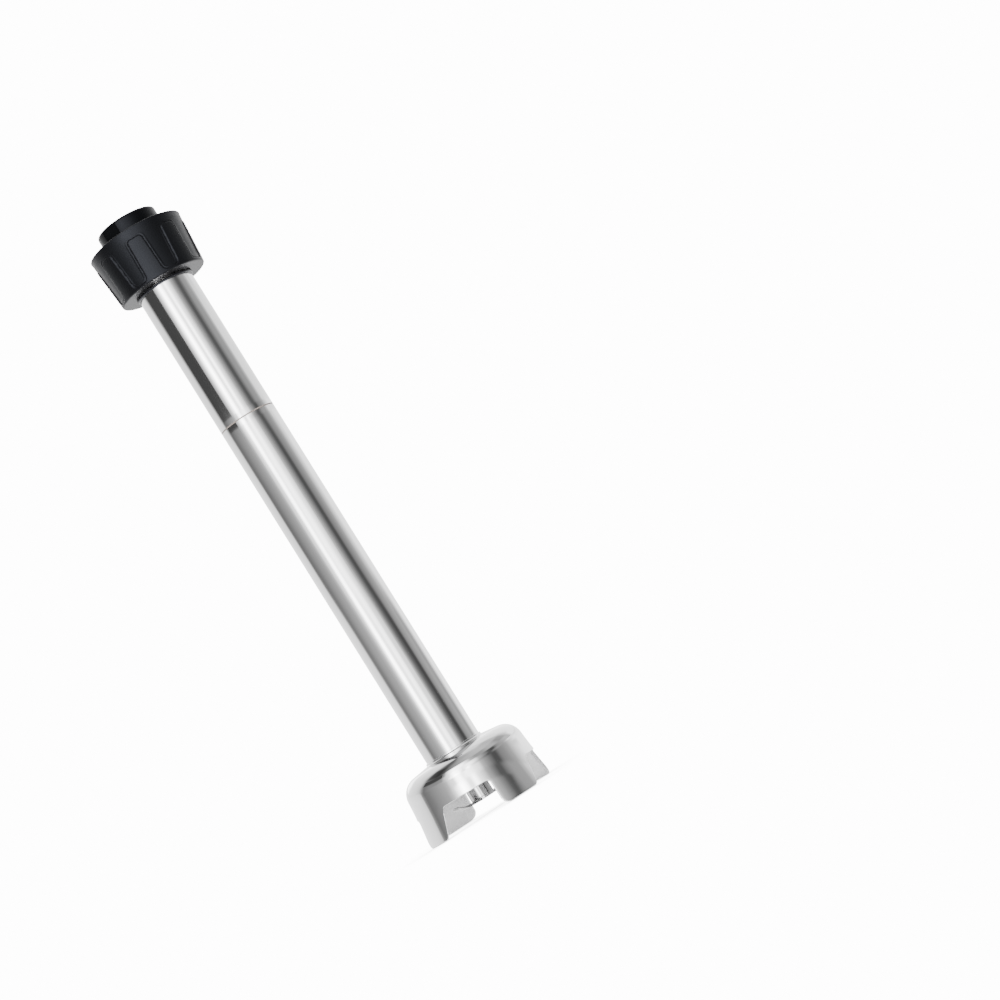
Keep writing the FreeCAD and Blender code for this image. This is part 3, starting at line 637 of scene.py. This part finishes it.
def steel(name, level, roughness, grain_scale, grain_size, grain_share, bump_depth):
    """Bare steel whose grain varies its colour, roughness and height."""
    made, graph = new_material(name)
    grain = graph.noise(grain_scale, grain_size, 3.0)
    tone = graph.clouded(grain, graph.noise(EVEN, CLOUD_SIZE, 2.0))
    dark = grey(level * (1 - grain_share))
    pale = grey(level * (1 + grain_share), 1.01)
    colour = graph.mix_colour(tone, dark, pale)
    rough = graph.by_grain(grain, roughness * 0.85, roughness * 1.15)
    normal = graph.bump(grain, bump_depth, METAL_BUMP)
    shade(graph, Base_Color=colour, Metallic=1.0, Roughness=rough, Normal=normal)
    return made


def bell_steel(name):
    """Polished steel outside and satin steel inside the bell."""
    made, graph = new_material(name)
    grain = graph.noise(EVEN, 420.0, 3.0)
    inside = graph.inner_faces()
    colour = graph.mix_colour(grain, grey(0.77), grey(0.79, 1.01))
    polished = graph.by_grain(grain, 0.05, 0.07)
    satin = graph.by_grain(grain, 0.30, 0.36)
    rough = graph.mix(inside, polished, satin)
    normal = graph.bump(grain, 0.003 * MM, METAL_BUMP)
    shade(graph, Base_Color=colour, Metallic=1.0, Roughness=rough, Normal=normal)
    return made


def blade_steel(name):
    """Rolled steel with wing tips ground to satin, their paler colour a painted highlight of the bright
    floor.
    """
    made, graph = new_material(name)
    grain = graph.noise(EVEN, 900.0, 3.0)
    tip_satin_and_painted_highlight = graph.past_radius(BLADE_SATIN_AND_PAINTED_HIGHLIGHT_RADIUS)
    rolled_colour = graph.mix_colour(grain, grey(0.50), grey(0.53, 1.01))
    # Painted highlight: the wing tips are coloured pale where they would reflect the bright floor
    painted_tip_highlight_colour = graph.mix_colour(grain, grey(0.88), grey(0.92))
    colour = graph.mix_colour(tip_satin_and_painted_highlight, rolled_colour, painted_tip_highlight_colour)
    rolled = graph.by_grain(grain, 0.12, 0.16)
    satin = graph.by_grain(grain, 0.50, 0.56)
    rough = graph.mix(tip_satin_and_painted_highlight, rolled, satin)
    normal = graph.bump(grain, 0.004 * MM, METAL_BUMP)
    shade(graph, Base_Color=colour, Metallic=1.0, Roughness=rough, Normal=normal)
    return made


def tube_steel(name):
    """Steel brushed along the tube, with a matt line where its two halves join."""
    made, graph = new_material(name)
    grain = graph.noise(ALONG_THE_AXIS, 2600.0, 3.0)
    tone = graph.clouded(grain, graph.noise(EVEN, CLOUD_SIZE, 2.0))
    line = graph.near_height(TUBE_JOINT_Z, TUBE_JOINT_CHAMFER + TUBE_JOINT_MARGIN)
    bare = graph.mix_colour(tone, grey(0.71), grey(0.77, 1.01))
    colour = graph.mix_colour(line, bare, WARM_JOINT_LINE)
    metal = graph.math("SUBTRACT", 1.0, line)
    brushed = graph.by_grain(grain, 0.075, 0.105)
    rough = graph.mix(line, brushed, JOINT_LINE_ROUGHNESS)
    normal = graph.bump(grain, 0.004 * MM, METAL_BUMP)
    shade(graph, Base_Color=colour, Metallic=metal, Roughness=rough, Normal=normal)
    return made


def plastic(name, level, roughness, gloss, grain_size, bump_depth):
    """Moulded plastic or rubber with a fine grain; gloss is the level of its mirror reflection."""
    made, graph = new_material(name)
    grain = graph.noise(EVEN, grain_size, 3.0)
    cloud = graph.noise(EVEN, PLASTIC_CLOUD_SIZE, 2.0)
    colour = graph.mix_colour(cloud, grey(level * 0.85, 1.15), grey(level * 1.15, 1.2))
    rough = graph.by_grain(grain, roughness * 0.9, roughness * 1.1)
    normal = graph.bump(grain, bump_depth, PLASTIC_BUMP)
    shade(graph, Base_Color=colour, Roughness=rough, Normal=normal, Specular_IOR_Level=gloss,
          Specular_Tint=COOL_TINT)
    return made


PLAIN_STEELS = {
    "machined_stainless": dict(level=0.45, roughness=0.1, grain_scale=ROUND_THE_AXIS, grain_size=260,
                               grain_share=0.04, bump_depth=0.006 * MM),
    "bearing_steel": dict(level=0.62, roughness=0.12, grain_scale=EVEN, grain_size=500,
                          grain_share=0.03, bump_depth=0.002 * MM),
}
PLASTICS = {
    "black_spring_steel": dict(level=0.01, roughness=0.35, gloss=0.25, grain_size=600,
                               bump_depth=0.002 * MM),
    "black_rubber": dict(level=0.02, roughness=0.55, gloss=0.3, grain_size=900,
                         bump_depth=0.02 * MM),
    "black_head_plastic": dict(level=0.0016, roughness=0.4, gloss=0.11, grain_size=2400,
                               bump_depth=0.02 * MM),
    "black_nut_plastic": dict(level=0.0025, roughness=0.42, gloss=0.16, grain_size=2400,
                              bump_depth=0.03 * MM),
    "white_bush_plastic": dict(level=0.8, roughness=0.4, gloss=0.5, grain_size=900,
                               bump_depth=0.01 * MM),
}


def all_materials():
    """Every material by its record slot."""
    made = {
        "polished_stainless": bell_steel("polished_stainless"),
        "brushed_stainless": tube_steel("brushed_stainless"),
        "blade_stainless": blade_steel("blade_stainless"),
    }
    for name, settings in PLAIN_STEELS.items():
        made[name] = steel(name, **settings)
    for name, settings in PLASTICS.items():
        made[name] = plastic(name, **settings)
    return made


# ---------------------------------------------------------------- studio

# Rows of soft panels round the object. Each row starts at one elevation and is whole at the next,
# in degrees, and goes up to the row after it. A panel's azimuth in degrees is 0 behind the camera
# and 90 to the camera's right, and its level is the light it gives.
PANEL_ROWS = [
    ((-90, -80), [
        (-180, 3.2), (-138, 2.5), (-108, 2.1), (-99, 1.7), (-94, 0.75), (-90, 0.35), (-84, 0.26),
        (-74, 0.38), (-62, 0.53), (-48, 0.66), (-38, 0.95), (-30, 1.9), (-23, 5.5), (-18, 12.0),
        (-12, 11.0), (-6, 4.2), (0, 4.0), (6, 6.0), (14, 5.2), (20, 2.3), (31, 2.0), (36, 0.9),
        (42, 0.42), (50, 0.2), (62, 0.08), (68, 0.12), (76, 0.42), (95, 0.66), (109, 0.5),
        (120, 1.7), (128, 3.0), (180, 3.2),
    ]),
    ((3.2, 4.6), [
        (-180, 3.2), (-138, 2.4), (-110, 1.95), (-101, 1.45), (-98, 0.4), (-92, 0.22), (-82, 0.27),
        (-72, 0.37), (-58, 0.5), (-47, 0.66), (-40, 0.95), (-34, 2.0), (-26, 2.6), (-20, 9.0),
        (-15, 10.0), (-8, 5.0), (0, 6.3), (8, 5.5), (16, 3.4), (24, 2.4), (30, 0.9), (38, 0.5),
        (47, 0.26), (55, 0.11), (62, 0.11), (70, 0.3), (80, 0.4), (92, 0.62), (100, 1.1),
        (112, 1.9), (122, 2.8), (180, 3.2),
    ]),
    ((8.4, 9.6), [
        (-180, 3.2), (-138, 2.2), (-110, 1.9), (-103, 1.3), (-98, 0.4), (-92, 0.22), (-82, 0.3),
        (-72, 0.38), (-58, 0.5), (-48, 0.62), (-40, 1.1), (-34, 2.2), (-26, 6.5), (-19, 14.0),
        (-12, 10.0), (-6, 3.9), (-1, 3.5), (6, 8.5), (14, 3.3), (22, 1.8), (30, 0.72),
        (40, 0.33), (49, 0.13), (56, 0.13), (64, 0.3), (73, 0.48), (88, 0.54), (96, 1.0),
        (104, 2.1), (140, 2.3), (180, 3.2),
    ]),
    ((12.3, 13.1), [
        (-180, 4.5), (-158, 6.0), (-145, 2.5), (-118, 1.85), (-106, 1.3), (-98, 0.5), (-91, 0.22),
        (-75, 0.34), (-58, 0.36), (-46, 0.45), (-38, 1.5), (-30, 3.0), (-20, 11.0), (-13, 9.0),
        (-3, 4.2), (8, 5.6), (15, 4.4), (24, 2.3), (31, 0.85), (42, 0.4), (52, 0.16), (60, 0.09),
        (66, 0.12), (74, 0.38), (90, 0.62), (104, 0.95), (116, 0.95), (126, 2.8), (155, 3.0),
        (180, 4.5),
    ]),
    ((22.0, 30.0), [
        (-180, 3.4), (-147, 2.4), (-121, 1.9), (-108, 1.45), (-98, 0.5), (-92, 0.24), (-78, 0.18),
        (-64, 0.09), (-50, 0.13), (-40, 0.5), (-33, 2.6), (-20, 8.0), (-3, 6.0), (8, 3.0),
        (18, 0.9), (30, 0.5), (48, 0.5), (62, 0.75), (76, 0.75), (92, 0.46), (110, 0.62),
        (124, 1.6), (135, 2.6), (180, 3.4),
    ]),
    ((40.0, 48.0), [
        (-180, 2.6), (-138, 2.0), (-118, 1.7), (-106, 0.9), (-96, 0.2), (-86, 0.09), (-58, 0.05),
        (-44, 0.12), (-24, 0.38), (-3, 0.6), (16, 0.8), (60, 1.0), (98, 0.85), (114, 1.1),
        (126, 2.2), (180, 2.6),
    ]),
    ((62.0, 72.0), [
        (-180, 0.9), (-140, 1.7), (-116, 1.5), (-98, 0.6), (-80, 0.25), (-55, 0.12), (-28, 0.2),
        (0, 0.55), (30, 0.7), (70, 1.1), (110, 1.8), (150, 1.8), (180, 0.9),
    ]),
]
PANEL_PEAK = 14.0
BACKDROP_LEVEL = 14.0


def panel_row(graph, share, panels):
    """Grey level of one row of panels."""
    stops = [(azimuth / 360 + 0.5, level / PANEL_PEAK) for azimuth, level in panels]
    return graph.ramp(share, stops)


def studio_world():
    """Soft panels all round in rows, and a white backdrop behind the object."""
    world = bpy.data.worlds.new("studio")
    world.use_nodes = True
    bpy.context.scene.world = world
    graph = Graph(world.node_tree)
    direction = graph.node("ShaderNodeTexCoord").outputs["Generated"]
    axes = graph.node("ShaderNodeSeparateXYZ", {"Vector": direction}).outputs
    towards = graph.math("MULTIPLY", axes["Y"], -1.0)
    azimuth = graph.math("ARCTAN2", axes["X"], towards)
    share = graph.math("ADD", graph.math("DIVIDE", azimuth, math.tau), 0.5)
    elevation = graph.math("ARCSINE", axes["Z"])
    room = grey(0.0)
    for (foot, whole), panels in PANEL_ROWS:
        rise = graph.span(elevation, math.radians(foot), math.radians(whole), 0.0, 1.0, smooth=True)
        room = graph.mix_colour(rise, room, panel_row(graph, share, panels))
    level = graph.mix_colour(graph.seen(), room, grey(BACKDROP_LEVEL / PANEL_PEAK))
    light = graph.node("ShaderNodeBackground", {"Color": level, "Strength": PANEL_PEAK})
    graph.node("ShaderNodeOutputWorld", {"Surface": light.outputs["Background"]})


CARD_DISTANCE = 670 * MM
CARD_LEVEL = 0.085
CARD_AZIMUTHS = (-92, -44)
CARD_HEIGHTS = (373 * MM, 580 * MM)
CARD_STEPS = 24


def dark_card():
    """Curved dark card to the left of the shaft, seen only as a reflection in the upper tube."""
    work = bmesh.new()
    first, last = CARD_AZIMUTHS
    low, high = CARD_HEIGHTS
    pairs = []
    for step in range(CARD_STEPS + 1):
        azimuth = math.radians(first + (last - first) * step / CARD_STEPS)
        x = CARD_DISTANCE * math.sin(azimuth)
        y = -CARD_DISTANCE * math.cos(azimuth)
        pairs.append((work.verts.new((x, y, low)), work.verts.new((x, y, high))))
    for (low_a, high_a), (low_b, high_b) in zip(pairs, pairs[1:]):
        work.faces.new((low_a, low_b, high_b, high_a))
    card = stage_object("dark_card", work)
    made, graph = new_material("dark_card")
    surface = graph.mix_shaders(graph.seen(), graph.glow(CARD_LEVEL), graph.clear())
    graph.node("ShaderNodeOutputMaterial", {"Surface": surface})
    card.data.materials.append(made)


FLOOR_RADIUS = 3.0
FLOOR_SEGMENTS = 96
FLOOR_GAP = 0.05 * MM
FLOOR_LIT_RADIUS = 0.15
FLOOR_LEVEL = 0.85
FLOOR_GLOW = 0.6
CONTACT_REACH = 30 * MM
CONTACT_DEPTH = 1.5
CONTACT_SAMPLES = 8


def floor_surface(graph):
    """White to the camera with a contact shade; otherwise a lit disc that ends at its lit radius."""
    contact = graph.node("ShaderNodeAmbientOcclusion", {"Distance": CONTACT_REACH}, samples=CONTACT_SAMPLES)
    shaded = graph.math("POWER", contact.outputs["AO"], CONTACT_DEPTH)
    shown = graph.glow(graph.math("MULTIPLY", shaded, BACKDROP_LEVEL))
    matt = graph.node("ShaderNodeBsdfDiffuse", {"Color": grey(FLOOR_LEVEL)}).outputs["BSDF"]
    lit = graph.node("ShaderNodeAddShader", {0: matt, 1: graph.glow(FLOOR_GLOW)}).outputs["Shader"]
    place = graph.node("ShaderNodeTexCoord").outputs["Object"]
    away = graph.node("ShaderNodeVectorMath", {0: place}, operation="LENGTH").outputs["Value"]
    outside = graph.math("GREATER_THAN", away, FLOOR_LIT_RADIUS)
    from_above = graph.mix_shaders(graph.seen(), graph.mix_shaders(outside, lit, graph.clear()), shown)
    below = graph.node("ShaderNodeNewGeometry").outputs["Backfacing"]
    return graph.mix_shaders(below, from_above, graph.clear())


def studio_floor():
    """Pale floor that meets the backdrop, with a faint contact shade under the object."""
    work = bmesh.new()
    bmesh.ops.create_circle(work, cap_ends=True, segments=FLOOR_SEGMENTS, radius=FLOOR_RADIUS)
    bmesh.ops.translate(work, verts=work.verts, vec=(0, 0, cad_low.z - FLOOR_GAP))
    floor = stage_object("studio_floor", work)
    made, graph = new_material("studio_floor")
    graph.node("ShaderNodeOutputMaterial", {"Surface": floor_surface(graph)})
    floor.data.materials.append(made)


# ---------------------------------------------------------------- camera

CAMERA_PLACE = Vector((42.76, -1379.77, 48.3)) * MM
CAMERA_YAW = 0.04115
CAMERA_PITCH = 0.07316
CAMERA_ROLL = -0.56305
CAMERA_LENS = 85.6
CAMERA_SENSOR = 36.0


def add_camera():
    """Camera that looks slightly up at the shaft, rolled so that the shaft leans in the frame."""
    view = Vector((
        math.sin(CAMERA_YAW) * math.cos(CAMERA_PITCH),
        math.cos(CAMERA_YAW) * math.cos(CAMERA_PITCH),
        math.sin(CAMERA_PITCH),
    ))
    level_right = view.cross(Vector((0, 0, 1))).normalized()
    level_up = level_right.cross(view)
    right = math.cos(CAMERA_ROLL) * level_right + math.sin(CAMERA_ROLL) * level_up
    up = right.cross(view)
    data = bpy.data.cameras.new("camera")
    data.lens = CAMERA_LENS
    data.sensor_width = CAMERA_SENSOR
    camera = bpy.data.objects.new("camera", data)
    axes = Matrix((right, up, -view)).transposed()
    camera.matrix_world = Matrix.Translation(CAMERA_PLACE) @ axes.to_4x4()
    bpy.context.scene.collection.objects.link(camera)
    bpy.context.scene.camera = camera


# ---------------------------------------------------------------- scene

materials = all_materials()
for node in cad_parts.values():
    slot_name = node.material_slots[0].material.name
    node.material_slots[0].material = materials[slot_name]

finish_as(lower_tube(), "brushed_stainless", materials)
finish_as(upper_tube(), "brushed_stainless", materials)
finish_as(bell_guard(), "polished_stainless", materials)
finish_as(coupling_nut(), "black_nut_plastic", materials)

studio_world()
dark_card()
studio_floor()
add_camera()
